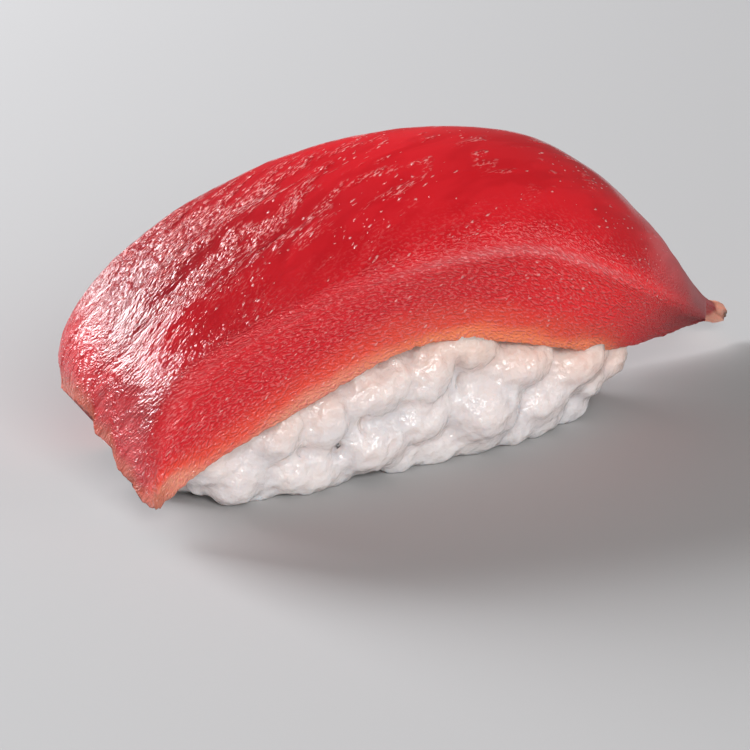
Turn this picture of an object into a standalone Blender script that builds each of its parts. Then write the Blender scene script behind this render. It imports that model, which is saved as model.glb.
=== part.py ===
"""Tuna nigiri: a thick slice of raw tuna bent over a hand-pressed pad of cooked rice.

Two solids: `rice`, the pad out to its lumpy outline, and `tuna`, the slice.
X runs along the nigiri, -Y is the side that shows most rice, Z is up.
All sizes are in millimetres until the meshes are written, in metres.
"""
from itertools import product

import bmesh
import bpy
import numpy as np
from mathutils import Vector, noise
from mathutils.bvhtree import BVHTree

MM = 0.001

# ---- the slice of tuna: guide curves from the hanging left end to the thin right end ----
# Each curve has one point at each of eight stations: (along, across, up).
CREST = ((-30.0, 2.0, 9.6), (-28.9, 2.4, 14.5), (-22.5, 4.5, 20.0), (-10.0, 4.5, 25.0),
         (3.5, 1.0, 27.3), (15.5, -1.5, 24.7), (25.2, -1.0, 16.9), (36.6, 1.6, 5.2))
NEAR_RIDGE = ((-29.6, -9.8, 3.2), (-28.9, -10.4, 11.5), (-22.0, -10.5, 16.0), (-10.0, -11.0, 19.0),
              (1.5, -11.5, 20.0), (10.0, -12.0, 18.5), (19.5, -12.0, 13.5), (32.0, -4.0, 6.2))
NEAR_EDGE = ((-29.2, -9.2, 2.4), (-23.5, -9.5, 5.5), (-16.0, -9.5, 8.0), (-6.5, -9.5, 11.0),
             (2.0, -9.0, 11.0), (11.0, -9.0, 8.5), (20.5, -6.5, 6.0), (31.8, -3.5, 5.6))
FAR_RIDGE = ((-27.0, 10.4, 7.2), (-24.5, 12.5, 10.0), (-18.5, 13.0, 13.5), (-9.0, 13.0, 16.5),
             (2.0, 12.0, 17.5), (13.0, 11.0, 15.0), (24.5, 9.5, 10.0), (41.4, 5.0, 2.8))
FAR_EDGE = ((-22.2, 11.0, 1.0), (-19.5, 11.5, 1.2), (-14.5, 11.5, 3.0), (-7.0, 11.5, 6.0),
            (1.5, 11.0, 8.0), (11.0, 10.0, 7.0), (22.0, 8.5, 4.5), (40.6, 4.8, 1.8))
THICKNESS = ((0.9,), (3.5,), (6.0,), (7.5,), (8.0,), (7.5,), (4.0,), (0.8,))

RIDGE_RADIUS = 1.5      # rounding where the top turns into a cut side
LEFT_SOFTENING = 2.2    # how much larger that rounding is at the hanging left end
EDGE_RADIUS = 0.7       # rounding along the lower edges
CROWN = 2.0             # power of the top's fall from the crest to a ridge
LIP_CROWN = 1.15        # the same at the left lip, which falls straighter
LIP_REACH = 0.09        # share of the slice over which the one turns into the other
# How far the torn left lip hangs, in mm, at places from -1.1, near, to 1.1, far.
LIP_HANGS = ((-1.1, 0.0), (-0.98, 0.0), (-0.9, 0.15), (-0.75, 0.7), (-0.5, 0.9), (-0.42, 0.2),
             (-0.25, 0.8), (-0.15, 0.1), (0.0, 0.5), (0.35, 0.05), (0.6, -0.1), (0.8, -0.3),
             (0.92, -1.2), (1.0, -2.0), (1.1, -3.0))
FIRST_SPAN = 5.0        # mm of slice between the first two stations
LOOPS = 50              # cross-sections along the slice
TOP_STEPS = 12          # points across the top, and across the underside
TURN_STEPS = 3          # points round each rounded corner
SIDE_STEPS = 2          # points on each half of a cut side

# ---- the pad of rice ----
PAD_ENDS = (-25.5, 23.2)        # left and right ends
PAD_BELLY = 5.5                 # height where the pad is widest
PAD_HALF_WIDTH = 9.2
PAD_TOP = 22.0                  # height of the free dome, before the slice limits it
PAD_UNDERCUT = 2.2              # how far the belly hangs out past the base
PAD_ACROSS = -0.5                # the pad's middle, across
LUMP = 7.0                      # one grain's length, the size of a lump
LUMP_HEIGHT = 2.2
FIT_GAP = 0.45                  # clearance between rice and slice
FIT_MARGIN = 1.4                # how far around a place the slice above it is felt for
PAD_RINGS = 50
PAD_SIDES = 52


def spline(points, u):
    """Natural cubic curve through evenly spaced points, read at u; below 0 it runs on straight."""
    points = np.asarray(points, dtype=float)
    last = len(points) - 1
    matrix = np.eye(last + 1)
    bend = np.zeros_like(points)
    for i in range(1, last):
        matrix[i, i - 1:i + 2] = 1, 4, 1
        bend[i] = 6 * (points[i + 1] - 2 * points[i] + points[i - 1])
    bend = np.linalg.solve(matrix, bend)
    place = np.clip(u, 0, 1) * last
    i = np.minimum(place.astype(int), last - 1)
    right = (place - i)[:, None]
    left = 1 - right
    before_start = (np.minimum(u, 0) * last)[:, None] * (points[1] - points[0] - bend[1] / 6)
    return (left * points[i] + right * points[i + 1] + before_start
            + ((left**3 - left) * bend[i] + (right**3 - right) * bend[i + 1]) / 6)


def length(vectors):
    return np.maximum(np.linalg.norm(vectors, axis=1), 1e-6)[:, None]


def outward(u):
    """Unit vector that points out of the arch, in the plane of its length."""
    step = 0.002
    run = spline(CREST, u + step) - spline(CREST, u - step)
    run[:, 1] = 0
    run /= length(run)
    return np.stack([-run[:, 2], np.zeros(len(u)), run[:, 0]], axis=1)


def crown_power(u):
    """The slice is rounded across, but its left lip falls straighter to the near corner."""
    return (CROWN - (CROWN - LIP_CROWN) * np.exp(-(u / LIP_REACH)**2))[:, None]


def ridge_radius(u):
    """The ridge between top and side is softer where the slice hangs down on the left."""
    return (RIDGE_RADIUS + LEFT_SOFTENING * np.exp(-(u / 0.16)**2))[:, None]


def crowned(middle, edge, normal, share, power):
    """A point on the curve that falls from a face's middle to its edge."""
    reach = edge - middle
    fall = np.sum(reach * normal, axis=1)[:, None] * normal
    return middle + share * (reach - fall) + share**power * fall


def section_point(kind, t, face, radius, power):
    """Half a face: t runs 0 to 1 over the face, round its corner, or down the cut side."""
    middle, edge, half, normal = face
    share = 1 - np.minimum(radius / length(edge - middle), 0.35)
    if kind == "face":
        return crowned(middle, edge, normal, t * share, power)
    on_side = edge + (half - edge) * np.minimum(radius / length(half - edge), 0.6)
    if kind == "side":
        return on_side + t * (half - on_side)
    before = crowned(middle, edge, normal, share, power)
    return (1 - t)**2 * before + 2 * t * (1 - t) * edge + t**2 * on_side


def half_steps():
    """The steps of half a loop, from the near side's middle over to the far side's."""
    half = [("side", t) for t in np.linspace(1, 0, SIDE_STEPS)]
    half += [("turn", t) for t in np.linspace(1, 0, TURN_STEPS + 2)[1:-1]]
    half += [("face", t) for t in np.linspace(1, 0, TOP_STEPS // 2)]
    return [(True, *step) for step in half] + [(False, *step) for step in half[-2::-1]]


def torn_start(near, kind, share):
    """Where the slice begins in this column: its left lip was torn, not cut."""
    place = {"face": 0.69 * share, "turn": 0.69 + 0.31 * share, "side": 1 + 0.1 * share}[kind]
    hangs = np.interp(-place if near else place, *np.transpose(LIP_HANGS))
    return -hangs / FIRST_SPAN / (len(CREST) - 1)


def tuna_loops():
    """The slice's cross-sections, as an array of (loop, point, xyz)."""
    t = np.linspace(0, 1, LOOPS)
    upper, lower = [], []
    for near, kind, share in half_steps():
        start = torn_start(near, kind, share)
        u = start + (1 - start) * t
        normal, power = outward(u), crown_power(u)
        crest = spline(CREST, u)
        under = crest - normal * spline(THICKNESS, u)
        ridge = spline(NEAR_RIDGE if near else FAR_RIDGE, u)
        edge = spline(NEAR_EDGE if near else FAR_EDGE, u)
        half = (ridge + edge) / 2
        upper.append(section_point(kind, share, (crest, ridge, half, normal), ridge_radius(u), power))
        lower.append(section_point(kind, share, (under, edge, half, normal), EDGE_RADIUS, power))
    return np.stack(upper + lower[::-1], axis=1)


def closed_tube(loops, cap):
    """A bmesh skin over the loops, each end shut by cap(bm, ring)."""
    bm = bmesh.new()
    rings = [[bm.verts.new(Vector(point) * MM) for point in loop] for loop in loops]
    for ring, after in zip(rings, rings[1:]):
        for k in range(len(ring)):
            j = (k + 1) % len(ring)
            bm.faces.new((ring[k], ring[j], after[j], after[k]))
    cap(bm, rings[0])
    cap(bm, rings[-1])
    bmesh.ops.remove_doubles(bm, verts=bm.verts, dist=0.01 * MM)
    bmesh.ops.dissolve_degenerate(bm, edges=bm.edges, dist=0.01 * MM)
    bmesh.ops.triangulate(bm, faces=bm.faces)
    bmesh.ops.recalc_face_normals(bm, faces=bm.faces)
    return bm


def cap_lip(bm, ring):
    """Shuts a thin lip with a strip from its upper to its lower half."""
    last = len(ring) - 1
    for k in range(len(ring) // 2 - 1):
        bm.faces.new((ring[k], ring[k + 1], ring[last - k - 1], ring[last - k]))


def cap_fan(bm, ring):
    """Shuts a round end with triangles to its middle."""
    middle = bm.verts.new(sum((v.co for v in ring), Vector()) / len(ring))
    for k in range(len(ring)):
        bm.faces.new((ring[k], ring[(k + 1) % len(ring)], middle))


def lump(place):
    """How far the pad stands out here: one bump for each grain-sized cell."""
    nearest = noise.voronoi(Vector(place) / LUMP)[0][0]
    return LUMP_HEIGHT * (0.42 - nearest)


def rice_loops(slice_tree):
    """The pad's cross-sections, kept below the slice and flat where it stands."""
    left, right = PAD_ENDS
    loops = []
    for ring in np.linspace(0.04, 0.96, PAD_RINGS):
        swing = np.pi * ring
        along = (left + right) / 2 - (right - left) / 2 * np.cos(swing)
        swell = np.sin(swing)**0.45
        loop = []
        for angle in np.arange(PAD_SIDES) / PAD_SIDES * 2 * np.pi:
            side, rise = np.cos(angle), np.sin(angle)
            tall = PAD_TOP - PAD_BELLY if rise > 0 else PAD_BELLY + 1.2
            squared = np.sign(rise) * abs(rise)**0.7
            across = PAD_ACROSS + side * PAD_HALF_WIDTH * swell
            if rise < 0:
                across -= side * PAD_UNDERCUT * rise**2
            up = PAD_BELLY + squared * tall * swell**0.6
            away = Vector((-0.6 * np.cos(swing), side, rise)).normalized()
            place = Vector((along, across, up)) + away * lump((along, across, up))
            loop.append(under_slice(place, slice_tree))
        loops.append(loop)
    return loops


def under_slice(place, slice_tree):
    """The place moved down clear of the slice's underside, and up to the floor."""
    for along, across in product((-FIT_MARGIN, 0, FIT_MARGIN), repeat=2):
        start = Vector((place.x + along, place.y + across, -5))
        hit = slice_tree.ray_cast(start * MM, Vector((0, 0, 1)))[0]
        if hit is not None:
            place.z = min(place.z, hit.z / MM - FIT_GAP)
    place.z = max(place.z, 0.0)
    return place


def material(name, colour, roughness):
    made = bpy.data.materials.new(name)
    made.use_nodes = True
    shader = made.node_tree.nodes["Principled BSDF"]
    shader.inputs["Base Color"].default_value = (*colour, 1)
    shader.inputs["Roughness"].default_value = roughness
    return made


def add_object(name, bm, surface):
    mesh = bpy.data.meshes.new(name)
    bm.to_mesh(mesh)
    bm.free()
    mesh.materials.append(surface)
    part = bpy.data.objects.new(name, mesh)
    bpy.context.collection.objects.link(part)
    return part


def centre_over_origin(parts):
    """Moves the meshes so that the nigiri's box stands centred on the origin."""
    corners = np.array([v.co for part in parts for v in part.data.vertices])
    low, high = corners.min(axis=0), corners.max(axis=0)
    shift = Vector((-(low[0] + high[0]) / 2, -(low[1] + high[1]) / 2, -low[2]))
    for part in parts:
        for v in part.data.vertices:
            v.co += shift


def main():
    for old in list(bpy.data.objects):
        bpy.data.objects.remove(old)
    slice_mesh = closed_tube(tuna_loops(), cap_lip)
    slice_tree = BVHTree.FromBMesh(slice_mesh)
    pad_mesh = closed_tube(rice_loops(slice_tree), cap_fan)
    tuna = add_object("tuna", slice_mesh, material("raw_tuna", (0.55, 0.02, 0.03), 0.35))
    rice = add_object("rice", pad_mesh, material("cooked_rice", (0.85, 0.80, 0.74), 0.4))
    centre_over_origin((rice, tuna))


main()
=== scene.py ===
# %% [markdown]
# # A tuna nigiri
# A nigiri is two things: a small pad of warm rice pressed in the hand, and a slice of raw
# fish laid over it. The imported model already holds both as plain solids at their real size.
# This lesson gives them their real surfaces. The slice is drawn again as a fine skin over
# the same guide curves, and the solid rice gives way to cooked grains stuck to a core.

import bmesh
import bpy
import numpy as np
from mathutils import Matrix, Vector
from mathutils.bvhtree import BVHTree


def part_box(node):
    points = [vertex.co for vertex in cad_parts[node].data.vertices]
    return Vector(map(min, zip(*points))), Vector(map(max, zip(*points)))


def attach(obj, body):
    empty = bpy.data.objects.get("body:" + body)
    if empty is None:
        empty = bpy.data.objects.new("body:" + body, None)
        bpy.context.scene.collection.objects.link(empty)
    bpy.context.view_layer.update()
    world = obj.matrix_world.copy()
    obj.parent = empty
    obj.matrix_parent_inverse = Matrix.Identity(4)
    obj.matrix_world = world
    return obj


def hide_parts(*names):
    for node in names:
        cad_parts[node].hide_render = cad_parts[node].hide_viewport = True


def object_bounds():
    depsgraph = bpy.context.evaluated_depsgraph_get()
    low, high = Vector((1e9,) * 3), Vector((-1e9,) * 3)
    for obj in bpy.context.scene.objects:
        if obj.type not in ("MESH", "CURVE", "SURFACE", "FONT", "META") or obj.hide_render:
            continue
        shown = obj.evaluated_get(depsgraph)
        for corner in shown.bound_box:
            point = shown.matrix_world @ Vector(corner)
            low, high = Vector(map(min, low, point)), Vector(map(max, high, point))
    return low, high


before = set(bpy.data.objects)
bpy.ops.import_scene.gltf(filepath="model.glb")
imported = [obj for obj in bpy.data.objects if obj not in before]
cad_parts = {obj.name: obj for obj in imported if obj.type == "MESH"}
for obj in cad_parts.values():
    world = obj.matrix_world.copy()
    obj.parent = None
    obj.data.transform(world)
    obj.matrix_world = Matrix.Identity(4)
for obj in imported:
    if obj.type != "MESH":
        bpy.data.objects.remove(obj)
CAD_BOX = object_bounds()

MM = 0.001
BODY = "root"
TUNA_LOW, TUNA_HIGH = (np.array(corner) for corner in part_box("tuna"))
print("tuna box in mm:", np.round(TUNA_LOW / MM, 1), np.round(TUNA_HIGH / MM, 1))


def fit_to_box(points, plain, low, high):
    """Places the points as if the box of the plain shape became the given one."""
    own_low, own_high = plain.reshape(-1, 3).min(axis=0), plain.reshape(-1, 3).max(axis=0)
    return low + (points - own_low) / (own_high - own_low) * (high - low)


def add_object(name, data):
    """An object that shows this mesh, lamp or camera."""
    made = bpy.data.objects.new(name, data)
    bpy.context.collection.objects.link(made)
    return made


def mesh_object(name, points, faces):
    """A mesh object at the origin whose place is in its vertices."""
    mesh = bpy.data.meshes.new(name)
    mesh.from_pydata([tuple(point) for point in points], [], faces)
    mesh.shade_smooth()
    return add_object(name, mesh)


def edit(mesh, *changes):
    """Opens a mesh for editing, lets each change work on it, and writes it back."""
    bm = bmesh.new()
    bm.from_mesh(mesh)
    for change in changes:
        change(bm)
    bm.to_mesh(mesh)
    bm.free()
    return mesh


def triangles(piece):
    return sum(len(face.vertices) - 2 for face in piece.data.polygons)


def store(mesh, name, values):
    """Keeps one number, or one vector, for each vertex under a name that materials can read."""
    values = np.asarray(values, dtype=np.float32).ravel()
    vectors = len(values) > len(mesh.vertices)
    layer = mesh.attributes.new(name, "FLOAT_VECTOR" if vectors else "FLOAT", "POINT")
    layer.data.foreach_set("vector" if vectors else "value", values)


def new_look(name):
    """A material with nodes, and its Principled shader."""
    look = bpy.data.materials.new(name)
    look.use_nodes = True
    return look, look.node_tree.nodes["Principled BSDF"]


def settle(shader, values):
    """Sets what is the same all over a surface on the shader's own sockets."""
    for name, value in values.items():
        shader.inputs[name].default_value = value


# %% [markdown]
# ## Camera, floor and light
# Food like this is shot from low down with a long lens, so that the slice arches over the
# rice and nothing looks stretched. A far camera with a narrow view does the same here.
# The wet slice is shaped by what it mirrors: one soft light behind it on the left washes the
# hanging end with a broken glare, and a low one on the right draws the line of its rounded
# edge. A small light beside the camera fills the cut side and gives the rice its sparks.

# %% Camera
VIEW_COMPASS, VIEW_HEIGHT = 214.5, 19.5    # degrees
VIEW_DISTANCE = 5.5 * (CAD_BOX[1][0] - CAD_BOX[0][0])
FOCAL_MM, SENSOR_MM = 216, 36
AIM_RIGHT, AIM_UP, AIM_BACK = -5.45, 4.46, 3.4    # mm from the origin to the point looked at


def facing(compass, height):
    """The direction at this compass angle, from behind over the right, and height in degrees."""
    compass, height = np.radians(compass), np.radians(height)
    return Vector((np.sin(compass) * np.cos(height), np.cos(compass) * np.cos(height), np.sin(height)))


camera_data = bpy.data.cameras.new("camera")
camera_data.lens, camera_data.sensor_width = FOCAL_MM, SENSOR_MM
camera_data.clip_start, camera_data.clip_end = 0.01, 10
camera = add_object("camera", camera_data)
back, right = facing(VIEW_COMPASS, VIEW_HEIGHT), facing(VIEW_COMPASS - 90, 0)
aim = right * AIM_RIGHT * MM + back.cross(right) * AIM_UP * MM + back * AIM_BACK * MM
turn = back.to_track_quat("Z", "Y").to_matrix().to_4x4()
camera.matrix_world = Matrix.Translation(aim + back * VIEW_DISTANCE) @ turn
bpy.context.scene.camera = camera
print("camera distance in mm:", round(VIEW_DISTANCE / MM))

# %% Floor, world and lights
FLOOR_SIZE = 1.6
corners = ((-1, -1), (1, -1), (1, 1), (-1, 1))
floor = mesh_object("floor", [(x * FLOOR_SIZE, y * FLOOR_SIZE, 0) for x, y in corners], [(0, 1, 2, 3)])
floor_look, floor_shader = new_look("pale_floor")
settle(floor_shader, {"Base Color": (0.43, 0.43, 0.43, 1), "Roughness": 0.7, "Specular IOR Level": 0.2})
floor.data.materials.append(floor_look)

world = bpy.data.worlds.new("soft_room")
world.use_nodes = True
settle(world.node_tree.nodes["Background"], {"Color": (1, 0.98, 0.97, 1), "Strength": 0.14})
bpy.context.scene.world = world
bpy.context.scene.view_settings.view_transform = "Standard"


def soft_light(name, direction, distance, size, brightness, colour=(1, 1, 1)):
    """A lamp of this width and height that faces the nigiri; brightness is that of its face."""
    data = bpy.data.lights.new(name, "AREA")
    data.shape = "RECTANGLE"
    data.size, data.size_y = size
    data.energy = brightness * np.pi * size[0] * size[1]
    data.color = colour
    lamp = add_object(name, data)
    lamp.location = direction * distance
    lamp.rotation_euler = direction.to_track_quat("Z", "Y").to_euler()


soft_light("glare_light", facing(-19, 25.7), 0.6, (0.34, 0.32), 22.0, (0.97, 0.97, 1.0))
soft_light("ridge_light", facing(149, 19), 0.6, (0.36, 0.15), 4.2)
soft_light("front_light", facing(205, 27), 0.7, (0.28, 0.24), 17.0)

# %% [markdown]
# ## Building node trees in a script
# The relief, the grains and both finishes are node trees. A tree reads best in a script when
# each node is one line: a helper makes the node, sets its options, and wires or sets each
# input. A socket knows its tree, so sums of sockets needn't name it. The same helpers serve
# Geometry Nodes and shaders, because both trees know Math, Mix, Map Range and Noise Texture.

# %% Node helpers
FLOAT, VECTOR, GEOMETRY = "NodeSocketFloat", "NodeSocketVector", "NodeSocketGeometry"


def set_input(tree, socket, value):
    """Wires a socket into an input, or sets the input to a plain value."""
    if isinstance(value, bpy.types.NodeSocket):
        tree.links.new(value, socket)
    else:
        socket.default_value = value


def add_node(tree, kind, inputs=None, **settings):
    """Adds a node with its options; inputs are given by name or by number."""
    made = tree.nodes.new(kind)
    for name, value in settings.items():
        setattr(made, name, value)
    for key, value in (inputs or {}).items():
        set_input(tree, made.inputs[key], value)
    return made


def node(kind, inputs, output=0, **settings):
    """Adds a node to the tree of the sockets that feed it, and returns one of its outputs."""
    tree = next(value.id_data for value in inputs.values() if isinstance(value, bpy.types.NodeSocket))
    outputs = add_node(tree, kind, inputs, **settings).outputs
    return outputs if output is None else outputs[output]


def calc(operation, *values):
    """A Math node; at least one of its inputs is a socket."""
    return node("ShaderNodeMath", dict(enumerate(values)), operation=operation)


def times(first, *others):
    """Multiplies its values one after the other."""
    for other in others:
        first = calc("MULTIPLY", first, other)
    return first


def plus(first, *others):
    """Adds its values one after the other."""
    for other in others:
        first = calc("ADD", first, other)
    return first


def scaled(vector, factor):
    return node("ShaderNodeVectorMath", {0: vector, "Scale": factor}, operation="SCALE")


def shifted(vector, shift):
    return node("ShaderNodeVectorMath", {0: vector, 1: shift}, operation="ADD")


def ramp(value, low, high, bottom=0, top=1):
    """A smooth step of a value, from bottom at low to top at high."""
    inputs = {"Value": value, "From Min": low, "From Max": high, "To Min": bottom, "To Max": top}
    return node("ShaderNodeMapRange", inputs, "Result", interpolation_type="SMOOTHSTEP")


def mix(share, below, above):
    """Mixes two colours."""
    return node("ShaderNodeMix", {0: share, 6: below, 7: above}, 2, data_type="RGBA")


def stretch(place, length, width, seed):
    """Coordinates in which a blotch `length` long and `width` wide is one unit."""
    x, y, z = node("ShaderNodeSeparateXYZ", {0: place}, None)
    inputs = {0: calc("DIVIDE", x, length), 1: calc("DIVIDE", y, width),
              2: plus(calc("DIVIDE", z, width), seed)}
    return node("ShaderNodeCombineXYZ", inputs)


def noise(place, detail=2.0, roughness=0.5, scale=1.0):
    """Smooth noise around 0.5 whose blotches are about one unit across."""
    inputs = {"Vector": place, "Scale": scale, "Detail": detail, "Roughness": roughness}
    return node("ShaderNodeTexNoise", inputs)


def cells(place, scale=1.0, **settings):
    """Cells of one unit: each has a colour, and its distance grows from its middle."""
    return node("ShaderNodeTexVoronoi", {"Vector": place, "Scale": scale}, None, **settings)


def new_group(name, kind, inputs, outputs):
    """An empty node group with its sockets listed by type, and those of its two end nodes."""
    group = bpy.data.node_groups.new(name, kind)
    for direction, sockets in (("INPUT", inputs), ("OUTPUT", outputs)):
        for socket_type, labels in sockets.items():
            for label in labels.split():
                group.interface.new_socket(label, in_out=direction, socket_type=socket_type)
    return group, group.nodes.new("NodeGroupInput").outputs, group.nodes.new("NodeGroupOutput").inputs


def run_tree(piece, group, **values):
    """Runs a Geometry Nodes group on a piece with named values and keeps the plain mesh."""
    modifier = piece.modifiers.new(group.name, "NODES")
    modifier.node_group = group
    for socket in group.interface.items_tree:
        if socket.in_out == "INPUT" and socket.name in values:
            modifier[socket.identifier] = values[socket.name]
    keep_result(piece)


def keep_result(piece):
    """Replaces a piece's mesh with what its modifiers make of it, and removes them."""
    mesh = bpy.data.meshes.new_from_object(piece.evaluated_get(bpy.context.evaluated_depsgraph_get()))
    piece.modifiers.clear()
    piece.data = mesh
    mesh.shade_smooth()


# %% [markdown]
# ## The slice of tuna
# The slice is cut thick, laid over the pad and pressed, so it arches along its length, its
# cut sides stand nearly upright, and its ends hang thin. Guide curves along the slice say
# where its crest, its two rounded ridges and its two lower edges run. At each place between
# them a closed cross-section is drawn, and the sections are skinned. A loft like this keeps
# the real thickness, which a bent and bevelled box would not.

# %% Guide curves along the slice
# One point at each of eight stations, from the hanging left end to the thin right end:
# millimetres along, across and up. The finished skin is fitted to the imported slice's box.
CREST = ((-30.0, 2.0, 9.6), (-28.9, 2.4, 14.5), (-22.5, 4.5, 20.0), (-10.0, 4.5, 25.0),
         (3.5, 1.0, 27.3), (15.5, -1.5, 24.7), (25.2, -1.0, 16.9), (36.6, 1.6, 5.2))
NEAR_RIDGE = ((-29.6, -9.8, 3.2), (-28.9, -10.4, 11.5), (-22.0, -10.5, 16.0), (-10.0, -11.0, 19.0),
              (1.5, -11.5, 20.0), (10.0, -12.0, 18.5), (19.5, -12.0, 13.5), (32.0, -4.0, 6.2))
NEAR_EDGE = ((-29.2, -9.2, 2.4), (-23.5, -9.5, 5.5), (-16.0, -9.5, 8.0), (-6.5, -9.5, 11.0),
             (2.0, -9.0, 11.0), (11.0, -9.0, 8.5), (20.5, -6.5, 6.0), (31.8, -3.5, 5.6))
FAR_RIDGE = ((-27.0, 10.4, 7.2), (-24.5, 12.5, 10.0), (-18.5, 13.0, 13.5), (-9.0, 13.0, 16.5),
             (2.0, 12.0, 17.5), (13.0, 11.0, 15.0), (24.5, 9.5, 10.0), (41.4, 5.0, 2.8))
FAR_EDGE = ((-22.2, 11.0, 1.0), (-19.5, 11.5, 1.2), (-14.5, 11.5, 3.0), (-7.0, 11.5, 6.0),
            (1.5, 11.0, 8.0), (11.0, 10.0, 7.0), (22.0, 8.5, 4.5), (40.6, 4.8, 1.8))
THICKNESS = ((0.9,), (3.5,), (6.0,), (7.5,), (8.0,), (7.5,), (4.0,), (0.8,))
CROWN, LIP_CROWN, TIP_CROWN = 2.0, 1.15, 1.0      # power of the fall from crest to ridge
LIP_REACH, TIP_REACH = 0.09, 0.06                 # share of the length that each end's power holds
RIDGE_RADIUS, LIP_RADIUS, SOFT_REACH = 1.5, 2.2, 0.16    # mm; more at the lip; share of the length
EDGE_RADIUS = 0.7                                 # mm
MOST_OF_FACE, MOST_OF_SIDE = 0.35, 0.6            # share of each that its rounded corner may take
TINY, NUDGE = 1e-6, 0.002                         # mm; share of the length


def spline(points, u):
    """Natural cubic curve through evenly spaced points, read at u; below 0 it runs on straight."""
    points = np.asarray(points, dtype=float)
    last = len(points) - 1
    matrix = np.eye(last + 1)
    bend = np.zeros_like(points)
    for i in range(1, last):
        matrix[i, i - 1:i + 2] = 1, 4, 1
        bend[i] = 6 * (points[i + 1] - 2 * points[i] + points[i - 1])
    bend = np.linalg.solve(matrix, bend)
    u = np.asarray(u, dtype=float)
    place = np.clip(u, 0, 1) * last
    i = np.minimum(place.astype(int), last - 1)
    right_share = (place - i)[:, None]
    left_share = 1 - right_share
    before_start = (np.minimum(u, 0) * last)[:, None] * (points[1] - points[0] - bend[1] / 6)
    return (left_share * points[i] + right_share * points[i + 1] + before_start
            + ((left_share**3 - left_share) * bend[i]
               + (right_share**3 - right_share) * bend[i + 1]) / 6)


def span(vectors):
    return np.maximum(np.linalg.norm(vectors, axis=1), TINY)[:, None]


def outward(u):
    """Unit vector that points out of the arch, in the plane of its length."""
    run = spline(CREST, u + NUDGE) - spline(CREST, u - NUDGE)
    run[:, 1] = 0
    run /= span(run)
    return np.stack([-run[:, 2], np.zeros(len(u)), run[:, 0]], axis=1)


# %% One point of a cross-section
def crown_power(u):
    """The slice is rounded across, but both of its thin ends fall straighter to their corners."""
    lip, tip = np.exp(-(u / LIP_REACH)**2), np.exp(-((1 - u) / TIP_REACH)**2)
    return (CROWN - (CROWN - LIP_CROWN) * lip - (CROWN - TIP_CROWN) * tip)[:, None]


def ridge_radius(u):
    """The ridge between top and side is softer where the slice hangs down on the left."""
    return (RIDGE_RADIUS + LIP_RADIUS * np.exp(-(u / SOFT_REACH)**2))[:, None]


def crowned(middle, edge, normal, share, power):
    """A point on the curve that falls from a face's middle to its edge."""
    reach = edge - middle
    fall = np.sum(reach * normal, axis=1)[:, None] * normal
    return middle + share * (reach - fall) + share**power * fall


def section_point(kind, t, middle, edge, half, normal, radius, power):
    """Half a face: t runs 0 to 1 over the face, round its corner, or down the cut side."""
    share = 1 - np.minimum(radius / span(edge - middle), MOST_OF_FACE)
    if kind == "face":
        return crowned(middle, edge, normal, t * share, power)
    on_side = edge + (half - edge) * np.minimum(radius / span(half - edge), MOST_OF_SIDE)
    if kind == "side":
        return on_side + t * (half - on_side)
    before = crowned(middle, edge, normal, share, power)
    return (1 - t)**2 * before + 2 * t * (1 - t) * edge + t**2 * on_side


# %% [markdown]
# The left end was torn rather than cut, so the slice doesn't begin at the same place all the
# way across: its near half hangs up to a millimetre lower, in two scallops with a nub
# between them, the far corner is torn away, and the whole lip is finely ragged. Its underside
# is torn back further than its top, which leaves a thin edge. The thin right end is blunt:
# its last loops are drawn together instead of sawn off, and so is the torn far corner.

# %% Where the slice begins
def smooth_step(low, high, values):
    share = np.clip((values - low) / (high - low), 0, 1)
    return share * share * (3 - 2 * share)


FIRST_SPAN = 5.0    # mm of slice between the first two stations
LAST_STATION = len(CREST) - 1
# Place across, and mm that the lip hangs further down there.
LIP_HANGS = ((-1.1, -0.5), (-1.0, -0.2), (-0.9, 0.15), (-0.75, 0.7), (-0.5, 0.9), (-0.45, 0.7),
             (-0.42, 0.15), (-0.31, 0.55), (-0.22, 0.85), (-0.18, 0.05), (-0.1, 0.2), (0.0, 0.5),
             (0.15, 0.35), (0.35, 0.05), (0.6, -0.1), (0.8, -0.3), (0.92, -1.2), (1.0, -2.0), (1.1, -3.0))


def ragged_start(across):
    """Where the slice begins, as a share of its length; across runs from -1, near, to 1, far."""
    hanging = np.interp(across, *np.transpose(LIP_HANGS))
    shreds = 0.09 * np.sin(61 * across) * np.sin(37 * across + 1) + 0.05 * np.sin(113 * across)
    return -(hanging + shreds) / FIRST_SPAN / LAST_STATION


# %% Steps round a section
# Points on each stretch of a half loop, from the near side over to the far side, and the
# place across at which each kind of stretch begins and how much it takes.
LOOPS = 400
UPPER = (("side", 16), ("turn", 8), ("face", 48), ("face", 48), ("turn", 6), ("side", 10))
LOWER = (("side", 12), ("turn", 6), ("face", 20), ("face", 20), ("turn", 6), ("side", 10))
UPPER_WIDTHS = {"face": (0.0, 0.69), "turn": (0.69, 0.31), "side": (1.0, 0.1)}
LOWER_WIDTHS = {"face": (0.0, 0.95), "turn": (0.95, 0.08), "side": (1.03, 0.07)}
UPPER_COUNT = sum(count for _, count in UPPER)


def half_steps(counts, widths):
    """The steps of half a loop, from the near side's middle over to the far side's."""
    steps = []
    for part, (kind, count) in enumerate(counts):
        near = part < len(counts) / 2
        shares = (np.arange(count) + 0.5) / count
        first, extent = widths[kind]
        for t in (shares[::-1] if near else shares):
            steps.append((near, kind, t, (first + extent * t) * (-1 if near else 1)))
    return steps


# %% Blunt ends
TIP_SHARES = (0.45, 0.82, 0.95)    # of the full thickness, from the last loop back
CORNER_LOOPS = 16                  # loops over which the torn far corner closes
CORNER = (0.85, 1.05)              # place across at which it starts and is full


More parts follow.
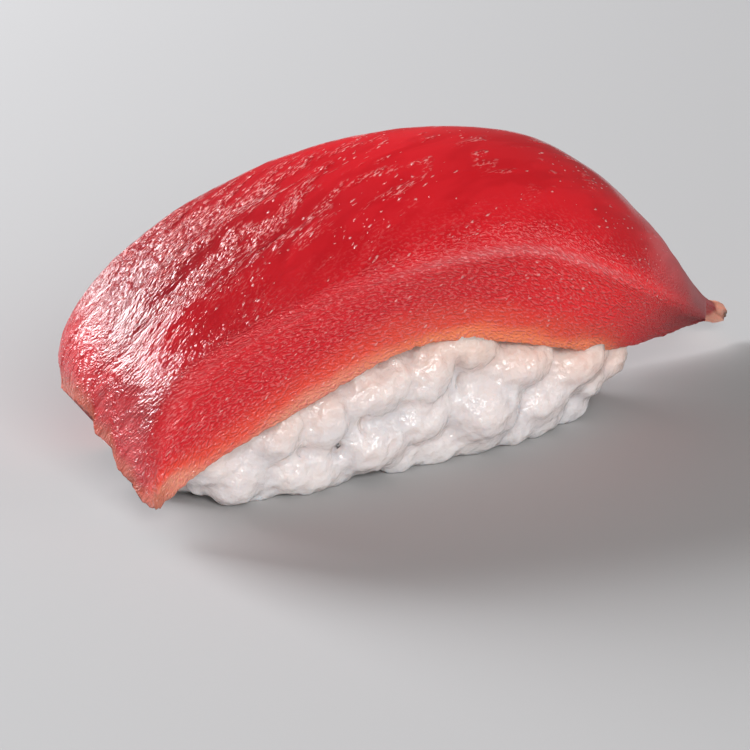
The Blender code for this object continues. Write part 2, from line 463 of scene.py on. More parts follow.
def draw_together(skin, places, loop, share):
    """Draws a loop's upper and lower halves towards each other; a share of 1 leaves them."""
    upper, lower = slice(0, UPPER_COUNT), slice(UPPER_COUNT, None)
    points = skin[:, loop]
    opposite = np.empty_like(points)
    for own, other, order in ((upper, lower, -1), (lower, upper, 1)):
        known = places[other][::order]
        for axis in range(3):
            opposite[own, axis] = np.interp(places[own], known, points[other, axis][::order])
    middle = (points + opposite) / 2
    skin[:, loop] = middle + share * (points - middle)


def round_ends(skin, places, corner_loops):
    """Blunts the thin right end, and closes the far corner of the left end."""
    for back, share in enumerate(TIP_SHARES):
        draw_together(skin, places, -1 - back, share)
    torn = smooth_step(*CORNER, places)[:, None]
    for loop in range(corner_loops):
        rounding = np.sqrt(1 - (1 - (loop + 0.5) / corner_loops)**2)
        draw_together(skin, places, loop, 1 - torn * (1 - rounding))
    return skin


# %% Skin the sections
UNDERCUT = 0.9    # mm that the lip's underside is torn back


def slice_skin(begins, corner_loops=0):
    """Rows of points round the slice, as (point round, place along, xyz)."""
    t = np.linspace(0, 1, LOOPS)
    columns, tags, places = [], [], []
    for upper, counts, widths in ((True, UPPER, UPPER_WIDTHS), (False, LOWER, LOWER_WIDTHS)):
        steps = half_steps(counts, widths)
        for near, kind, share, across in steps:
            start = begins(across)
            if not upper:
                torn_back = UNDERCUT * smooth_step(1.1, 0.8, abs(across))
                start += torn_back / FIRST_SPAN / LAST_STATION
            u = start + (1 - start) * t
            normal = outward(u)
            crest = spline(CREST, u)
            ridge = spline(NEAR_RIDGE if near else FAR_RIDGE, u)
            edge = spline(NEAR_EDGE if near else FAR_EDGE, u)
            if upper:
                middle, corner, radius = crest, ridge, ridge_radius(u)
            else:
                middle, corner, radius = crest - normal * spline(THICKNESS, u), edge, EDGE_RADIUS
            half, power = (ridge + edge) / 2, crown_power(u)
            columns.append(section_point(kind, share, middle, corner, half, normal, radius, power))
            tags.append((upper, near, kind))
            places.append(across)
        if not upper:
            for rows in (columns, tags, places):
                rows[-len(steps):] = rows[:-len(steps) - 1:-1]
    return round_ends(np.stack(columns), np.array(places), corner_loops), tags


plain_skin, tags = slice_skin(lambda across: 0)
ragged_skin, tags = slice_skin(ragged_start, CORNER_LOOPS)
round_count = len(tags)
grid = fit_to_box(ragged_skin, plain_skin, TUNA_LOW, TUNA_HIGH)
print("slice grid:", round_count, "round by", LOOPS, "along")


# %% Close the skin into one mesh
def end_faces(end):
    """Closes one thin end with a zip of triangles between its upper and lower halves."""
    upper = [k * LOOPS + end for k in range(UPPER_COUNT)]
    lower = [k * LOOPS + end for k in range(round_count - 1, UPPER_COUNT - 1, -1)]
    faces, i, j = [], 0, 0
    while i < len(upper) - 1 or j < len(lower) - 1:
        upper_next = (i + 1) / len(upper) <= (j + 1) / len(lower)
        if j == len(lower) - 1 or (upper_next and i < len(upper) - 1):
            faces.append((upper[i], upper[i + 1], lower[j]))
            i += 1
        else:
            faces.append((upper[i], lower[j + 1], lower[j]))
            j += 1
    return faces


faces = []
for k in range(round_count):
    j = (k + 1) % round_count
    for i in range(LOOPS - 1):
        faces.append((k * LOOPS + i, j * LOOPS + i, j * LOOPS + i + 1, k * LOOPS + i + 1))
faces += end_faces(0) + end_faces(LOOPS - 1)
tuna = mesh_object("tuna_slice", grid.reshape(-1, 3), faces)
print("faces of the skin:", len(faces))

# %% [markdown]
# The relief and the colours follow the flesh, so each vertex keeps its own measures, in mm
# or from 0 to 1: how far it lies above the lower edge of its cut side and from the torn lip,
# the thin tip and its nub, and whether it is underneath, on a cut side, near the ridge, on
# the line just past it, or on the calm strip above it that has hardly any flakes.

# %% Measures that the relief and the finish read
step_along = np.linalg.norm(np.diff(grid, axis=1), axis=2) / MM
along = np.concatenate([np.zeros((round_count, 1)), np.cumsum(step_along, axis=1)], axis=1)
step_around = np.linalg.norm(np.diff(grid, axis=0), axis=2) / MM
around = np.concatenate([np.zeros((1, LOOPS)), np.cumsum(step_around, axis=0)], axis=0)
girth = around[-1] + np.linalg.norm(grid[0] - grid[-1], axis=1) / MM


def corner_row(want_upper, want_near):
    """The row in the middle of this rounded corner."""
    rows = [k for k, tag in enumerate(tags) if tag == (want_upper, want_near, "turn")]
    return rows[len(rows) // 2]


near_ridge_row, far_ridge_row = corner_row(True, True), corner_row(True, False)
near_low_row, far_low_row = corner_row(False, True), corner_row(False, False)
past_seam = np.arange(round_count)[:, None] > (near_low_row + far_low_row) // 2
flow_around = np.where(past_seam, around - girth, around)
rise = np.minimum(flow_around - flow_around[near_low_row], flow_around[far_low_row] - flow_around)
past_near = flow_around - flow_around[near_ridge_row]
past_ridge = np.minimum(past_near, flow_around[far_ridge_row] - flow_around)
nub_place = grid[grid[:, -1, 0].argmax(), -1] - np.array((0.5, 0, 0)) * MM
measures = {
    "rise": np.clip(rise, 0, 30),
    "under": 1 - smooth_step(-1.2, -0.2, rise),
    "cut": 1 - smooth_step(-0.8, 1.2, past_ridge),
    "ridge": np.exp(-(past_ridge / 2.6)**2),
    # the line just past the ridge, where a highlight is painted
    "edge": np.exp(-((past_ridge + 0.7) / 0.45)**2),
    "calm": (1 - smooth_step(4.5, 8.5, past_near)) * smooth_step(7.0, 13.0, along),
    "lip": along + 0 * rise,
    "tip": along[:, -1:] - along,
    "nub": np.minimum(np.linalg.norm(grid - nub_place, axis=2) / MM, 30),
}

# The fibres lie askew: over the top they drift to the far side, on the hanging end to the near.
STEP = 0.1    # mm
reach = np.arange(0, 90, STEP)
slant = -0.6 + 0.9 * smooth_step(2, 13, reach)    # mm across for each mm along
drift = np.interp(along, reach, np.cumsum(slant) * STEP)
measures["side_flow"] = np.stack([along, flow_around, 0 * along], axis=2)
measures["flow"] = np.stack([along, flow_around - drift, 0 * along], axis=2)
for name, values in measures.items():
    store(tuna.data, name, values)
print("slice: longest mm", round(along.max(), 1), "thickest girth mm", round(girth.max(), 1))

# %% [markdown]
# ## The relief of the flesh
# Cut muscle isn't smooth. It swells and sinks a little, it is scored by long creases that
# run with the fibres, and its hanging end breaks up into flakes. What is wider than about a
# millimetre is moved in the mesh by this Geometry Nodes tree; what is finer is left to the
# bump of the finish. A sculpted mesh would do as well, but a tree keeps each depth a number.

# %% Geometry Nodes: relief along the flow
def named(tree, name, data_type="FLOAT"):
    """Reads what was stored on the vertices."""
    return add_node(tree, "GeometryNodeInputNamedAttribute", {"Name": name}, data_type=data_type).outputs[0]


def push_out(geometry, height):
    """Moves each vertex along its normal by this height in mm."""
    normal = add_node(geometry.id_data, "GeometryNodeInputNormal").outputs[0]
    inputs = {"Geometry": geometry, "Offset": scaled(normal, times(height, MM))}
    return node("GeometryNodeSetPosition", inputs)


def relief_tree():
    """Swells, creases, flakes and pebbles of the flesh, its frilled edge and the nub of its tip."""
    group, given, result = new_group(
        "flesh_relief", "GeometryNodeTree",
        {GEOMETRY: "Slice", FLOAT: "Swell Crease Flake Pebble Frill Nub Seed"}, {GEOMETRY: "Slice"})
    flow = named(group, "flow", "FLOAT_VECTOR")
    rise, lip, cut = (named(group, name) for name in ("rise", "lip", "cut"))
    top = calc("SUBTRACT", 1.0, cut)

    def centred(length, width, salt, detail=2.0):
        place = stretch(flow, length, width, plus(given["Seed"], salt))
        return calc("SUBTRACT", noise(place, detail), 0.5)

    swell = times(centred(16, 6, 10), given["Swell"])
    furrow = ramp(calc("ABSOLUTE", centred(16, 3.4, 20, 1)), 0, 0.05, 1, 0)
    crease = times(furrow, ramp(centred(11, 7, 30), -0.05, 0.10), given["Crease"])
    crease = times(crease, times(top, ramp(lip, 46, 20)))
    flake = times(centred(1.7, 0.62, 40), given["Flake"])
    flake = times(flake, times(top, ramp(lip, 44, 12, 0.05, 1)))
    pebble = times(centred(1.1, 0.8, 50, 1), times(cut, given["Pebble"]))
    frill = times(centred(0.9, 4, 60), times(ramp(rise, 1.3, 0.2), given["Frill"]))
    nub = times(ramp(named(group, "nub"), 3, 0.4), given["Nub"])
    height = plus(calc("SUBTRACT", plus(swell, flake), crease), nub, plus(pebble, frill))
    group.links.new(push_out(given["Slice"], height), result["Slice"])
    return group


edit(tuna.data, lambda bm: bmesh.ops.recalc_face_normals(bm, faces=bm.faces))
run_tree(tuna, relief_tree(), Swell=0.45, Crease=0.12, Flake=0.24, Pebble=0.14, Frill=0.45,
         Nub=0.40, Seed=3.0)
print("tuna triangles:", triangles(tuna))

# %% [markdown]
# ## The look of raw tuna
# Lean tuna is a deep, slightly see-through red. Its cut sides grade through orange to a peach
# line at the lower edge. It is wet, so the gloss shows every fibre: on the hanging end they
# break the light into long flakes, on the cut sides into short dashes, and over the smooth
# top only a few specks catch it. Both patterns are one stretched noise with its own sizes.

# %% Shader groups
fibre_group, given, result = new_group(
    "fibres", "ShaderNodeTree",
    {VECTOR: "Place", FLOAT: "Length Width Warp Detail Seed"}, {FLOAT: "Height Plates Patch"})
place = stretch(given["Place"], given["Length"], given["Width"], given["Seed"])
bend = calc("SUBTRACT", noise(place, 1.0, 0.5, 0.35), 0.5)
bent = shifted(place, times(bend, given["Warp"]))
fibre_group.links.new(noise(bent, given["Detail"], 0.55), result["Height"])
fibre_group.links.new(calc("SUBTRACT", 1.0, cells(bent)["Distance"]), result["Plates"])
fibre_group.links.new(noise(place, 2.0, 0.5, 0.14), result["Patch"])

speck_group, given, result = new_group(
    "specks", "ShaderNodeTree",
    {VECTOR: "Place", FLOAT: "Spacing Radius Share Seed"}, {FLOAT: "Mask"})
longer = times(given["Spacing"], 2.2)
place = stretch(given["Place"], longer, given["Spacing"], given["Seed"])
bent = shifted(place, times(noise(place, 2.0, 0.6, 2.5), 0.55))
dots = cells(bent, voronoi_dimensions="2D")
chance = node("ShaderNodeSeparateXYZ", {0: dots["Color"]}, None)
size = times(given["Radius"], calc("MULTIPLY_ADD", chance[1], 1.5, 0.3))
dot = ramp(calc("DIVIDE", dots["Distance"], size), 1, 0.3)
kept = calc("LESS_THAN", chance[0], given["Share"])
speck_group.links.new(times(dot, kept), result["Mask"])


def use_group(group, **inputs):
    """Places a shader group beside what feeds it and returns its outputs."""
    return node("ShaderNodeGroup", inputs, None, node_tree=group)


def stored(tree, name, output="Fac"):
    """Reads what was stored on the vertices."""
    return add_node(tree, "ShaderNodeAttribute", attribute_name=name).outputs[output]


def less(value, share=1.0):
    """1 less this share of a value."""
    return calc("MULTIPLY_ADD", value, -share, 1.0)


def bump(height):
    """The normal of a surface with this height in mm."""
    return node("ShaderNodeBump", {"Height": times(height, MM), "Strength": 1.0, "Distance": 1.0})


def glaze(colour, *layers):
    """Lays each colour over what is there, by its own share."""
    for share, above in layers:
        colour = mix(share, colour, above)
    return colour


# %% [markdown]
# The colours are laid one over the other, as a painter glazes. Each mask is a measure of the
# flesh turned into a share by a smooth step, so that nothing ends at a hard border.
# Some layers paint light: shade on the hanging end, brighter red near the tip, and highlights on dashes,
# flake crests, specks and the ridge line.

# %% Finish of the tuna
TOP_RED = (0.67, 0.012, 0.020, 1)
DARK_RED = (0.60, 0.008, 0.015, 1)
SIDE_RED = (0.65, 0.010, 0.018, 1)
# painted light: a brighter red for the cut side near the tip
TIP_LIGHT_RED = (0.90, 0.024, 0.030, 1)
ORANGE_RED = (0.82, 0.070, 0.040, 1)
PEACH = (0.99, 0.24, 0.105, 1)
PALE_PEACH = (0.82, 0.29, 0.19, 1)
LIP_BROWN = (0.50, 0.13, 0.075, 1)
TIP_RED = (0.32, 0.014, 0.017, 1)
TIP_BEIGE = (0.80, 0.34, 0.23, 1)
# painted highlights: sparks on the dashes and on the crests of flakes
SPARK_HIGHLIGHT_PINK = (0.80, 0.16, 0.16, 1)
# painted highlight: the line just past the ridge
RIDGE_HIGHLIGHT_PINK = (0.90, 0.27, 0.28, 1)
# painted highlight: glints on the crests of flakes and on the specks
GLINT = (0.95, 0.44, 0.42, 1)
# painted shade for the top of the hanging end
HANGING_SHADE_RED = (0.20, 0.008, 0.013, 1)
UNDER_RED = (0.52, 0.035, 0.030, 1)


def flesh_dashes(tree):
    """The short dashes of the cut sides."""
    return use_group(fibre_group, Place=stored(tree, "side_flow", "Vector"), Length=0.38,
                     Width=0.24, Warp=0.8, Detail=1.0, Seed=2.0)["Height"]


def flesh_flakes(tree, flow):
    """The flakes, and where they break the surface: densely near the torn lip, rarely beyond."""
    flakes = use_group(fibre_group, Place=flow, Length=0.55, Width=0.21, Warp=1.2, Detail=2.0, Seed=1.0)
    rarity = ramp(stored(tree, "lip"), 10, 44, 0.34, 0.56)
    share = calc("DIVIDE", calc("SUBTRACT", flakes["Patch"], rarity), 0.18)
    broken = times(ramp(share, 0, 1), less(stored(tree, "calm"), 0.9))
    return flakes, broken


def flesh_specks(tree, flow):
    """Moist specks in streaky clusters, fewer on the cut sides."""
    clusters = use_group(fibre_group, Place=flow, Length=1.3, Width=0.45, Seed=6.0)["Patch"]
    share = times(ramp(clusters, 0.46, 0.64, 0.05, 0.85), ramp(stored(tree, "cut"), 0, 1, 1, 0.5))
    return use_group(speck_group, Place=flow, Spacing=0.55, Radius=0.13, Share=share, Seed=7.0)["Mask"]


def tuna_colour(tree, flow, specks, flakes, broken, dashes):
    """Red above, graded to peach at the lower edges, brown and beige where the flesh thins, with painted
    shade, painted light and painted highlights.
    """
    rise, cut, lip, tip, ridge, edge, calm, under, nub = (
        stored(tree, name) for name in "rise cut lip tip ridge edge calm under nub".split())
    mottle = use_group(fibre_group, Place=flow, Length=7.0, Width=2.6, Warp=0.6, Detail=2.0,
                       Seed=5.0)["Height"]
    wander = times(calc("SUBTRACT", mottle, 0.5), 2.2)
    # Painted shade: the top of the hanging end is darkened, as it gets little light besides the glare that
    # washes it.
    hanging = times(ramp(lip, 42, 9, 0, 0.85), ramp(lip, 3, 11, 0.25, 1), less(calm, 0.5))
    top = glaze(TOP_RED, (ramp(mottle, 0.42, 0.60), DARK_RED), (hanging, HANGING_SHADE_RED))
    # The cut side goes by the height above its lower edge; the peach wanders and fades at the tip.
    height = plus(rise, calc("SUBTRACT", wander, ramp(lip, 6, 1, 0, 2)),
                  ramp(lip, 16, 8, 0, 0.8), ramp(tip, 16, 8, 0, 5))
    peach = mix(ramp(lip, 30, 16), PEACH, PALE_PEACH)
    # Painted light: the cut side turns a brighter red towards the tip, where the front light falls off.
    side = glaze(SIDE_RED, (ramp(tip, 34, 18), TIP_LIGHT_RED), (ramp(height, 5, 1.6), ORANGE_RED),
                 (ramp(height, 2.2, 0.4), peach))
    # Painted highlights: pale sparks on the dashes of the cut side and a little beyond the ridge, and on
    # the crests of flakes on the top.
    grains = ramp(dashes, 0.50, 0.64)
    beyond = times(ridge, ramp(lip, 24, 36, 0.25, 1), ramp(tip, 8, 20))
    dash_highlights = times(grains, calc("MAXIMUM", cut, beyond), 0.5)
    crest_highlights = times(ramp(flakes["Height"], 0.50, 0.64), broken, less(cut))
    # Painted highlight: a pale line just past the ridge, broken up by the dashes.
    line = times(edge, ramp(tip, 13, 26, 0, 0.85), ramp(lip, 26, 40, 0.2, 1),
                 calc("MULTIPLY_ADD", grains, 0.6, 0.4))
    # Painted glints lie on the crests of flakes and on the specks.
    return glaze(
        top, (cut, side), (dash_highlights, SPARK_HIGHLIGHT_PINK),
        (times(crest_highlights, ramp(lip, 5, 14, 0.1, 0.5)), SPARK_HIGHLIGHT_PINK), (line, RIDGE_HIGHLIGHT_PINK),
        (times(ramp(lip, 12, 22, 0, 0.65), crest_highlights), GLINT), (times(specks, 0.75), GLINT),
        (ramp(plus(lip, wander), 2.4, 0.3, 0, 0.75), LIP_BROWN),
        (ramp(tip, 16, 3.5, 0, 0.9), TIP_RED), (under, UNDER_RED), (ramp(nub, 3.2, 2), TIP_BEIGE))


def tuna_bump(tree, specks, flakes, broken, dashes):
    """Flakes on the hanging end, dashes on the cut sides, and specks; heights in mm."""
    lip, cut, ridge, edge = (stored(tree, name) for name in ("lip", "cut", "ridge", "edge"))
    depth = calc("MULTIPLY_ADD", broken, 0.13, ramp(lip, 30, 12, 0.004, 0.055))
    crackle = calc("MULTIPLY_ADD", flakes["Plates"], 0.7, flakes["Height"])
    pebbly = calc("MAXIMUM", times(cut, 0.30), times(ridge, 0.20))
    pebbly = times(pebbly, calc("MULTIPLY_ADD", edge, 0.3, 1.0))
    return bump(plus(times(crackle, depth, less(cut)), times(dashes, pebbly), times(specks, 0.07)))


def tuna_finish():
    look, shader = new_look("raw_tuna_look")
    tree = look.node_tree
    flow = stored(tree, "flow", "Vector")
    parts = flesh_specks(tree, flow), *flesh_flakes(tree, flow), flesh_dashes(tree)
    set_input(tree, shader.inputs["Base Color"], tuna_colour(tree, flow, *parts))
    set_input(tree, shader.inputs["Normal"], tuna_bump(tree, *parts))
    set_input(tree, shader.inputs["Roughness"], ramp(stored(tree, "tip"), 26, 8, 0.15, 0.45))
    settle(shader, {"IOR": 1.5, "Subsurface Weight": 0.25, "Subsurface Radius": (1.0, 0.15, 0.10),
                    "Subsurface Scale": 1.5 * MM})
    return look


tuna.data.materials.append(tuna_finish())
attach(tuna, BODY)
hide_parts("tuna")

# %% [markdown]
# ## The heap of rice
# Sushi rice is short, plump and sticky. Pressed by hand, its grains keep their rounded ends
# but fuse where they touch, so the pad looks like one lumpy mass with a few deep pits.
# Separate grains would look like dry rice. So grains are laid over a smaller core, some
# one by one where the shape of the near side asks for it and the rest by Geometry Nodes, and
# then a voxel remesh welds them into one skin, which is smoothed until the joints look soft.

# %% One cooked grain
GRAIN_LENGTH, GRAIN_WIDTH = 6.4, 3.5    # mm


def plump_grain(bm):
    """One unit long and wide: blunt ends, slightly bent, with a dent on one side."""
    bmesh.ops.create_icosphere(bm, subdivisions=3, radius=1.0)
    for vertex in bm.verts:
        x, y, z = vertex.co
        blunt = (1 - 0.18 * x * x) ** -0.5
        dent = 0.10 * np.exp(-((x - 0.1) / 0.5)**2) * max(z, 0)
        vertex.co = Vector((x, y * blunt, z * blunt - dent + 0.16 * x * x)) / 2


grain_pattern = add_object("grain_pattern", edit(bpy.data.meshes.new("grain"), plump_grain))
print("grain faces:", len(grain_pattern.data.polygons))

# %% Points of a mesh as arrays
def read_vectors(collection, field):
    values = np.empty(len(collection) * 3, dtype=np.float32)
    collection.foreach_get(field, values)
    return values.reshape(-1, 3).astype(float)


def read_points(mesh):
    return read_vectors(mesh.vertices, "co")


def read_normals(mesh):
    return read_vectors(mesh.vertex_normals, "vector")


def write_points(mesh, points):
    mesh.vertices.foreach_set("co", points.astype(np.float32).ravel())
    mesh.update()


def neighbour_pairs(mesh):
    pairs = np.empty(len(mesh.edges) * 2, dtype=np.int64)
    mesh.edges.foreach_get("vertices", pairs)
    return pairs.reshape(-1, 2)


def relax(values, pairs, rounds):
    """Moves each vertex's value halfway to the mean of its neighbours', round after round."""
    count = np.bincount(pairs.ravel(), minlength=len(values)).astype(float)[:, None]
    for _ in range(rounds):
        total = np.zeros_like(values)
        for axis in range(values.shape[1]):
            total[:, axis] = (np.bincount(pairs[:, 0], values[pairs[:, 1], axis], len(values))
                              + np.bincount(pairs[:, 1], values[pairs[:, 0], axis], len(values)))
        values = values + 0.5 * (total / count - values)
    return values


# %% The smaller core
CORE_INSET = 1.4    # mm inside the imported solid
SMOOTH_ROUNDS = 12
MERGE = 1e-6        # metres between corners that are one

core_mesh = edit(bpy.data.meshes.new("rice_core"),
                 lambda bm: bm.from_mesh(bpy.data.objects["rice"].data),
                 lambda bm: bmesh.ops.remove_doubles(bm, verts=bm.verts, dist=MERGE))
core_points = read_points(core_mesh) - CORE_INSET * MM * read_normals(core_mesh)
write_points(core_mesh, relax(core_points, neighbour_pairs(core_mesh), SMOOTH_ROUNDS))
rice = add_object("rice_grains", core_mesh)
core_points = read_points(core_mesh)
print("core size in mm:", np.round(np.ptp(core_points, axis=0) / MM, 1))

# %% Grains laid one by one on the near side
# Place in mm along, across and up; length and width in mm; degrees that the grain leans up
# from lying along the pad, and turns away into it.
NEAR_GRAINS = (
    (-26.6, -3.8, 1.7, 3.4, 2.2, 30, 0), (-24.5, -5.4, 2.5, 5.6, 5.0, 70, 0),
    (-22.4, -5.6, 1.0, 3.8, 2.8, 0, 0), (-18.2, -6.3, 1.9, 8.8, 4.6, 0, 0),
    (-21.0, -6.7, 6.0, 5.8, 4.2, 60, 10), (-15.4, -6.4, 1.3, 4.6, 3.2, 0, 0),
    (-16.8, -7.2, 6.2, 5.8, 4.4, 75, 0), (-12.2, -6.9, 3.2, 7.2, 5.4, 5, 0),
    (-9.2, -6.6, 1.3, 5.0, 3.4, 0, 0), (-11.6, -7.3, 8.0, 7.6, 4.8, 20, 0),
    (-6.8, -7.7, 8.6, 6.8, 4.8, 65, 0), (-7.2, -7.3, 4.5, 6.2, 4.6, 10, 0),
    (-5.0, -6.6, 1.5, 7.0, 3.8, 0, 0), (-0.8, -7.2, 4.2, 8.0, 6.6, 12, 0),
    (-0.8, -6.9, 1.6, 6.0, 3.8, 0, 0), (-3.0, -7.8, 10.2, 6.8, 4.6, -10, 0),
    (2.8, -7.9, 7.6, 7.0, 4.8, 0, 0), (2.8, -6.8, 1.5, 5.0, 3.6, 0, 0),
    (6.2, -6.9, 3.6, 6.8, 4.4, 15, 10), (6.0, -6.3, 1.6, 6.0, 3.8, 10, 0),
    (9.6, -7.2, 6.2, 6.4, 4.4, 20, 10), (10.0, -4.9, 1.4, 5.0, 3.6, 10, 0),
    (11.8, -6.0, 4.2, 5.2, 3.6, 30, 25), (13.6, -3.8, 2.6, 4.2, 3.0, 20, 30),
    (12.4, -5.8, 7.0, 5.2, 3.6, 10, 30), (14.2, -5.4, 5.0, 4.8, 3.8, 25, 15),
)
ROOM = (2.6, 3.6)    # mm around a laid grain: within it no other grain is scattered, beyond it all are


def lay_grains(bm):
    """Adds a sized, turned and placed copy of the grain for each entry."""
    for x, y, z, length, width, lean, turn in NEAR_GRAINS:
        size = Matrix.Diagonal((length * MM, width * MM, width * MM, 1))
        angles = Matrix.Rotation(np.radians(turn), 4, "Z") @ Matrix.Rotation(-np.radians(lean), 4, "Y")
        place = Matrix.Translation(Vector((x, y, z)) * MM)
        start = len(bm.verts)
        bm.from_mesh(grain_pattern.data)
        bm.verts.ensure_lookup_table()
        bmesh.ops.transform(bm, matrix=place @ angles @ size, verts=bm.verts[start:])


laid_mesh = edit(bpy.data.meshes.new("laid_grains"), lay_grains)
laid_places = np.array(NEAR_GRAINS)[:, :3] * MM
gap = np.linalg.norm(core_points[:, None] - laid_places[None], axis=2).min(axis=1) / MM
store(core_mesh, "room", smooth_step(*ROOM, gap))
print("laid by hand:", len(NEAR_GRAINS), "grains")

# %% Geometry Nodes: scatter the other grains
LEAN, FULL_TURN = 0.35, 6.283       # radians
SMALLEST, LARGEST = 0.82, 1.15      # of the grain's usual size


def scatter_tree():
    """Covers a core with grains that lie flat on it, and keeps the core inside."""
    group, given, result = new_group(
        "grains_on_core", "GeometryNodeTree",
        {GEOMETRY: "Core", "NodeSocketObject": "Grain", FLOAT: "Spacing Length Width Depth",
         "NodeSocketMaterial": "Finish", "NodeSocketInt": "Seed"}, {GEOMETRY: "Rice"})
    seed = given["Seed"]
    points = node("GeometryNodeDistributePointsOnFaces",
                  {"Mesh": given["Core"], "Distance Min": times(given["Spacing"], MM),
                   "Density Max": 1e7, "Density Factor": named(group, "room"), "Seed": seed},
                  None, distribute_method="POISSON")
    deep = {2: times(given["Depth"], -MM), 3: times(given["Depth"], MM), "Seed": seed}
    depth = node("FunctionNodeRandomValue", deep, 1, data_type="FLOAT")
    placed = node("GeometryNodeSetPosition",
                  {"Geometry": points["Points"], "Offset": scaled(points["Normal"], depth)})
    flat = node("FunctionNodeAlignRotationToVector", {"Vector": points["Normal"]}, axis="Z")
    angles = {0: (-LEAN, -LEAN, 0.0), 1: (LEAN, LEAN, FULL_TURN), "Seed": plus(seed, 7)}
    spin = node("FunctionNodeRandomValue", angles, data_type="FLOAT_VECTOR")
    spun = node("FunctionNodeEulerToRotation", {0: spin})
    turned = node("FunctionNodeRotateRotation", {"Rotation": flat, "Rotate By": spun},
                  rotation_space="LOCAL")
    size = node("ShaderNodeCombineXYZ", {0: given["Length"], 1: given["Width"], 2: given["Width"]})
    sizes = {2: SMALLEST * MM, 3: LARGEST * MM, "Seed": plus(seed, 13)}
    vary = node("FunctionNodeRandomValue", sizes, 1, data_type="FLOAT")
    pattern = node("GeometryNodeObjectInfo", {"Object": given["Grain"]}, "Geometry")
    laid = node("GeometryNodeInstanceOnPoints", {"Points": placed, "Instance": pattern,
                                                 "Rotation": turned, "Scale": scaled(size, vary)})
    both = group.nodes.new("GeometryNodeJoinGeometry")
    group.links.new(given["Core"], both.inputs[0])
    group.links.new(node("GeometryNodeRealizeInstances", {"Geometry": laid}), both.inputs[0])
    finished = {"Geometry": both.outputs[0], "Material": given["Finish"]}
    group.links.new(node("GeometryNodeSetMaterial", finished), result["Rice"])
    return group


rice_look, rice_shader = new_look("cooked_rice_look")
run_tree(rice, scatter_tree(), Grain=grain_pattern, Spacing=2.9, Length=GRAIN_LENGTH,
         Width=GRAIN_WIDTH, Depth=0.35, Finish=rice_look, Seed=4)
bpy.data.objects.remove(grain_pattern)
edit(rice.data, lambda bm: bm.from_mesh(laid_mesh))
print("grains and core:", len(rice.data.polygons), "faces")

# %% Weld the heap into one shell
VOXEL = 0.26      # mm

weld = rice.modifiers.new("weld", "REMESH")
weld.mode = "VOXEL"
weld.voxel_size = VOXEL * MM
keep_result(rice)


def keep_largest_shell(bm):
    """Deletes the loose bits and the closed hollows that welding leaves."""
    remaining, shells = set(bm.verts), []
    while remaining:
        shell, border = set(), [next(iter(remaining))]
        while border:
            vertex = border.pop()
            if vertex not in shell:
                shell.add(vertex)
                border.extend(edge.other_vert(vertex) for edge in vertex.link_edges)
        remaining -= shell
        shells.append(shell)
    shells.sort(key=len)
    bmesh.ops.delete(bm, geom=[vertex for shell in shells[:-1] for vertex in shell], context="VERTS")
    print("shells removed:", len(shells) - 1, "vertices left:", len(shells[-1]))


edit(rice.data, keep_largest_shell)

# %% Soften the joints between grains
SOFTEN_ROUNDS = 6
FILL_ROUNDS, FILL_REACH, FILL_SHARE = 6, 12, 0.8

pairs = neighbour_pairs(rice.data)
write_points(rice.data, relax(read_points(rice.data), pairs, SOFTEN_ROUNDS))
for _ in range(FILL_ROUNDS):    # starch fills the joints: only hollows are raised
    points, normals = read_points(rice.data), read_normals(rice.data)
    depth = np.sum((relax(points, pairs, FILL_REACH) - points) * normals, axis=1)
    raised = points + FILL_SHARE * np.maximum(depth, 0)[:, None] * normals
    write_points(rice.data, relax(raised, pairs, 1))
print("deepest hollow before the last round, in mm:", round(depth.max() / MM, 2))

# %% Geometry Nodes: starchy skin
def skin_tree():
    """Breaks smooth grains up into dents and ridges, as starch and pressing do."""
    group, given, result = new_group(
        "starchy_skin", "GeometryNodeTree",
        {GEOMETRY: "Rice", FLOAT: "Lumps Ridges Seed"}, {GEOMETRY: "Rice"})
    place = scaled(add_node(group, "GeometryNodeInputPosition").outputs[0], 1 / MM)
    place = shifted(place, given["Seed"])
    lumps = calc("SUBTRACT", noise(place, 4.0, 0.6, 0.45), 0.5)
    ridges = calc("SUBTRACT", cells(shifted(place, times(lumps, 2.0)), 0.7)["Distance"], 0.5)
    height = plus(times(lumps, given["Lumps"]), times(ridges, given["Ridges"]))
    group.links.new(push_out(given["Rice"], height), result["Rice"])
    return group


run_tree(rice, skin_tree(), Lumps=0.7, Ridges=0.35, Seed=3.0)

# %% Press the pits and the bed of the slice
# Deep narrow pits between near grains: place, half the width and half the height in mm.
PITS = ((-4.3, -9.1, 8.8, 0.5, 0.9), (-3.6, -8.9, 7.3, 0.35, 0.8), (-24.4, -8.8, 5.2, 0.4, 0.7),
        (-19.2, -7.6, 3.9, 0.5, 0.45), (-15.9, -7.9, 3.4, 0.5, 0.7), (-13.5, -8.2, 5.4, 0.35, 0.8))
PIT_DEPTH, PIT_REACH = 0.7, 1.5    # mm
TOUCH = 0.05      # mm between rice and slice
SUNK = 2.5        # mm that a grain may stand in the slice and still be pressed back out of it
ASKEW = 1.3       # further off than this times its depth, a point is past the slice's rim
FAR = 6           # mm within which the slice is looked for

points, normals = read_points(rice.data), read_normals(rice.data)
for x, y, z, half_width, half_height in PITS:
    offset = (points / MM - (x, y, z)) / (half_width, PIT_REACH, half_height)
    points -= (PIT_DEPTH * MM * np.exp(-np.sum(offset**2, axis=1)))[:, None] * normals
bm = bmesh.new()
bm.from_mesh(tuna.data)
slice_tree = BVHTree.FromBMesh(bm)
bm.free()
touching = np.full(len(points), float(FAR))
for order, point in enumerate(points):
    near, normal, _, distance = slice_tree.find_nearest(Vector(point), FAR * MM)
    if near is None:
        continue
    outside = (Vector(point) - near).dot(normal) / MM
    touching[order] = distance / MM
    if outside < TOUCH and touching[order] < min(max(-ASKEW * outside, 2 * TOUCH), SUNK):
        points[order] = near + normal * (TOUCH * MM)
        touching[order] = 0
points[:, 2] = np.maximum(points[:, 2], 0)
write_points(rice.data, points)
print("rice triangles:", triangles(rice))

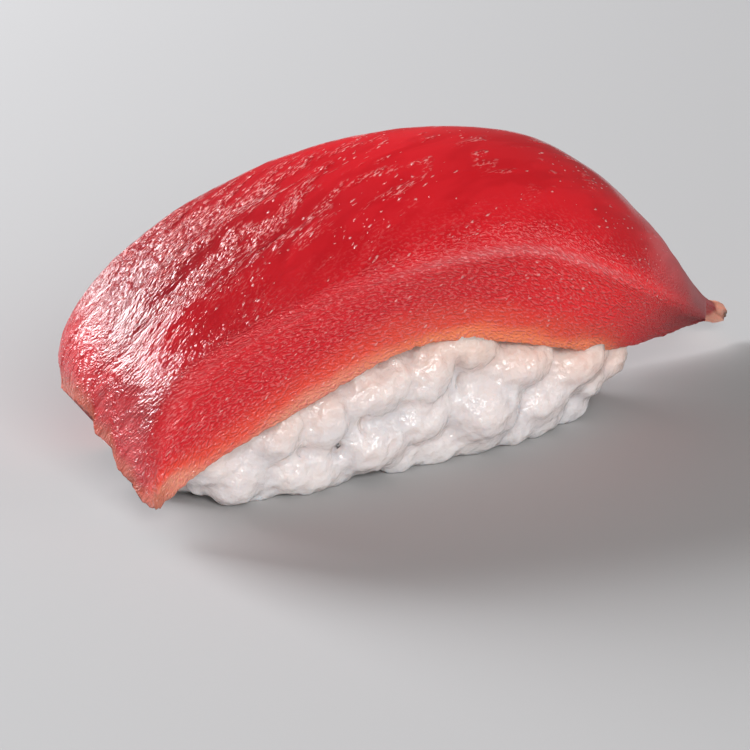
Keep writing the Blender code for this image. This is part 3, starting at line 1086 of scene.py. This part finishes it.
# %% Measures that the finish of the rice reads
HOLLOW_REACH = 40    # rounds
# reach of the painted red light that the slice throws on the rice
BOUNCE_REACH = 4.5    # mm from the slice
mean_points = relax(points, pairs, HOLLOW_REACH)
hollow = np.sum((mean_points - points) * read_normals(rice.data), axis=1) / MM
print("hollow in mm, deepest and highest:", round(hollow.max(), 2), round(hollow.min(), 2))
# hollow: how deep each point lies in a hollow, where shade is painted
store(rice.data, "hollow", hollow)
# nearness to the slice, where its red light is painted on the rice
store(rice.data, "slice_bounce", 1 - smooth_step(0.0, BOUNCE_REACH, touching))
rice.data.shade_smooth()

# %% [markdown]
# ## The look of cooked rice
# Cooked rice is white because light goes in and scatters, so its shadows are pale; its pits
# are painted a tan shade rather than grey. Its wet, starchy skin is finely pimpled, which breaks
# each highlight into a cluster of tiny sparks. Next to the fish it is painted pinker, for the red
# light that the slice throws back.

# %% Finish of the rice
RICE_WHITE = (0.79, 0.72, 0.705, 1)
RICE_GREY = (0.73, 0.68, 0.68, 1)
# painted shade: tan in the hollows between grains
PIT_SHADE_TAN = (0.58, 0.42, 0.32, 1)
# painted reflection: red light thrown back from the slice
SLICE_BOUNCE_PINK = (0.82, 0.61, 0.53, 1)


def rice_finish(tree, shader):
    place = scaled(add_node(tree, "ShaderNodeTexCoord").outputs["Object"], 1 / MM)
    tone = ramp(noise(place, 1, 0.5, 0.28), 0.40, 0.62)
    # Painted shade: tan in the hollows. Painted reflection: pink near the slice.
    colour = glaze(RICE_WHITE, (tone, RICE_GREY), (times(stored(tree, "slice_bounce"), 0.9), SLICE_BOUNCE_PINK),
                   (ramp(stored(tree, "hollow"), 0.3, 0.9), PIT_SHADE_TAN))
    set_input(tree, shader.inputs["Base Color"], colour)
    pimples = use_group(fibre_group, Place=place, Length=0.48, Width=0.48, Warp=0.8, Detail=2.0, Seed=3.0)
    facets = use_group(fibre_group, Place=place, Length=1.1, Width=1.1, Warp=0.8, Seed=4.0)
    height = calc("MULTIPLY_ADD", pimples["Height"], 0.16, times(facets["Plates"], 0.16))
    set_input(tree, shader.inputs["Normal"], bump(height))
    settle(shader, {"Roughness": 0.17, "IOR": 1.5, "Subsurface Weight": 0.85,
                    "Subsurface Radius": (1.0, 0.8, 0.7), "Subsurface Scale": 2.2 * MM})


rice_finish(rice_look.node_tree, rice_shader)
rice.data.materials.clear()
rice.data.materials.append(rice_look)
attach(rice, BODY)
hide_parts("rice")
